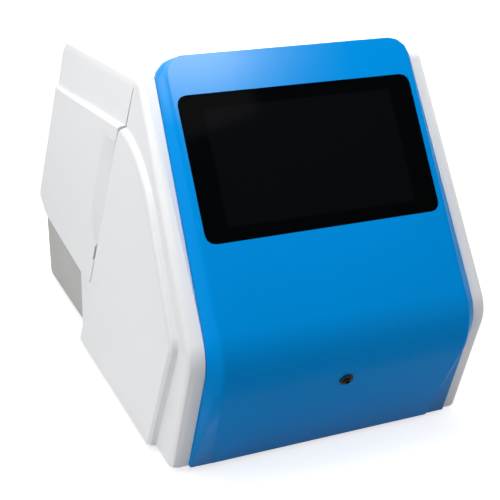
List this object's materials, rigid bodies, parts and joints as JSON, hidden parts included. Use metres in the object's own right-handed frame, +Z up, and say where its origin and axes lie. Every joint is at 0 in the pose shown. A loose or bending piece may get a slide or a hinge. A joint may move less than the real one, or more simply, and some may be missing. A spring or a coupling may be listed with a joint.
{
  "type": "chemistry analyzer",
  "caption": "Compact benchtop clinical chemistry analyzer with slanted touch display, sample port, lifting rear cover, filter photometer, peristaltic pump and steel chassis",
  "frame": {"origin": "on the table, under the middle of the footprint's bounding box", "axes": "+X to the object's right as seen from behind the display, +Y to the rear, +Z up; the display faces -Y"},
  "size_m": [0.2268, 0.4132, 0.2608],
  "materials": {
    "white_plastic": "satin moulded white ABS",
    "blue_plastic": "glossy blue moulded ABS",
    "display_glass": "black printed touch glass, glossy",
    "painted_sheet": "fine textured grey paint on folded steel sheet",
    "steel": "plain zinc plated or stainless steel",
    "rubber": "black rubber",
    "black_plastic": "black moulded plastic",
    "aluminium": "machined aluminium",
    "optical_glass": "clear or lightly tinted optical glass",
    "circuit_board": "green soldermask on glass fibre board",
    "silicone": "translucent silicone tubing",
    "nylon": "natural nylon or acetal"
  },
  "bodies": {
    "base": {"front_housing": "white_plastic", "front_fascia": "blue_plastic", "display_glass": "display_glass", "display_panel": "black_plastic", "display_bracket": "steel", "display_board": "circuit_board", "display_cable": "nylon", "sipper_grommet": "rubber", "sipper_ferrule": "steel", "aspiration_tube": "silicone", "base_chassis": "painted_sheet", "foot_1": "rubber", "foot_2": "rubber", "foot_3": "rubber", "foot_4": "rubber", "deck_plate": "steel", "rear_panel": "painted_sheet", "fan_frame": "black_plastic", "fan_guard": "steel", "power_inlet": "black_plastic", "switch_housing": "black_plastic", "usb_port": "steel", "waste_fitting": "nylon", "hinge_fixed_leaf_left": "steel", "hinge_pin_left": "steel", "hinge_fixed_leaf_right": "steel", "hinge_pin_right": "steel", "lamp_housing": "aluminium", "lamp": "optical_glass", "lens_barrel": "black_plastic", "lens": "optical_glass", "wheel_bracket": "painted_sheet", "wheel_motor": "black_plastic", "flow_cell_block": "aluminium", "flow_cell": "optical_glass", "detector_board": "circuit_board", "pump_motor": "black_plastic", "pump_track": "nylon", "pump_tube": "silicone", "main_board": "circuit_board", "power_supply": "steel", "power_lead": "black_plastic"},
    "cover": {"rear_cover": "white_plastic", "hinge_moving_leaf_left": "steel", "hinge_moving_leaf_right": "steel"},
    "wheel": {"filter_wheel": "aluminium", "filter_1": "optical_glass", "filter_2": "optical_glass", "filter_3": "optical_glass", "filter_4": "optical_glass", "filter_5": "optical_glass", "filter_6": "optical_glass", "filter_7": "optical_glass", "filter_8": "optical_glass"},
    "rotor": {"pump_rotor": "black_plastic"},
    "roller_1": {"pump_roller_1": "nylon"},
    "roller_2": {"pump_roller_2": "nylon"},
    "roller_3": {"pump_roller_3": "nylon"},
    "fan": {"fan_rotor": "black_plastic"},
    "rocker": {"power_rocker": "black_plastic"}
  },
  "joints": [
    {"name": "cover_hinge", "type": "hinge", "parent": "base", "child": "cover", "pos_m": [0, 0.19163, 0.088], "axis": [-1, 0, 0], "range_deg": [0, 75]},
    {"name": "filter_wheel_spin", "type": "hinge", "parent": "base", "child": "wheel", "pos_m": [-0.016, 0.04458, 0.1473], "axis": [1, 0, 0], "continuous": true},
    {"name": "pump_spin", "type": "hinge", "parent": "base", "child": "rotor", "pos_m": [0.055, -0.02442, 0.102], "axis": [0, 0, 1], "continuous": true},
    {"name": "roller_spin_1", "type": "hinge", "parent": "rotor", "child": "roller_1", "pos_m": [0.055, -0.00622, 0.102], "axis": [0, 0, 1], "continuous": true},
    {"name": "roller_spin_2", "type": "hinge", "parent": "rotor", "child": "roller_2", "pos_m": [0.03924, -0.03352, 0.102], "axis": [0, 0, 1], "continuous": true},
    {"name": "roller_spin_3", "type": "hinge", "parent": "rotor", "child": "roller_3", "pos_m": [0.07076, -0.03352, 0.102], "axis": [0, 0, 1], "continuous": true},
    {"name": "fan_spin", "type": "hinge", "parent": "base", "child": "fan", "pos_m": [0.05, 0.18058, 0.041], "axis": [0, 1, 0], "continuous": true},
    {"name": "power_rocker_tilt", "type": "hinge", "parent": "base", "child": "rocker", "pos_m": [-0.022, 0.19058, 0.041], "axis": [-1, 0, 0], "range_deg": [0, 18]}
  ],
  "couplings": [
    {"joint": "roller_spin_1", "follows": "pump_spin", "ratio": -4.7},
    {"joint": "roller_spin_2", "follows": "pump_spin", "ratio": -4.7},
    {"joint": "roller_spin_3", "follows": "pump_spin", "ratio": -4.7}
  ]
}
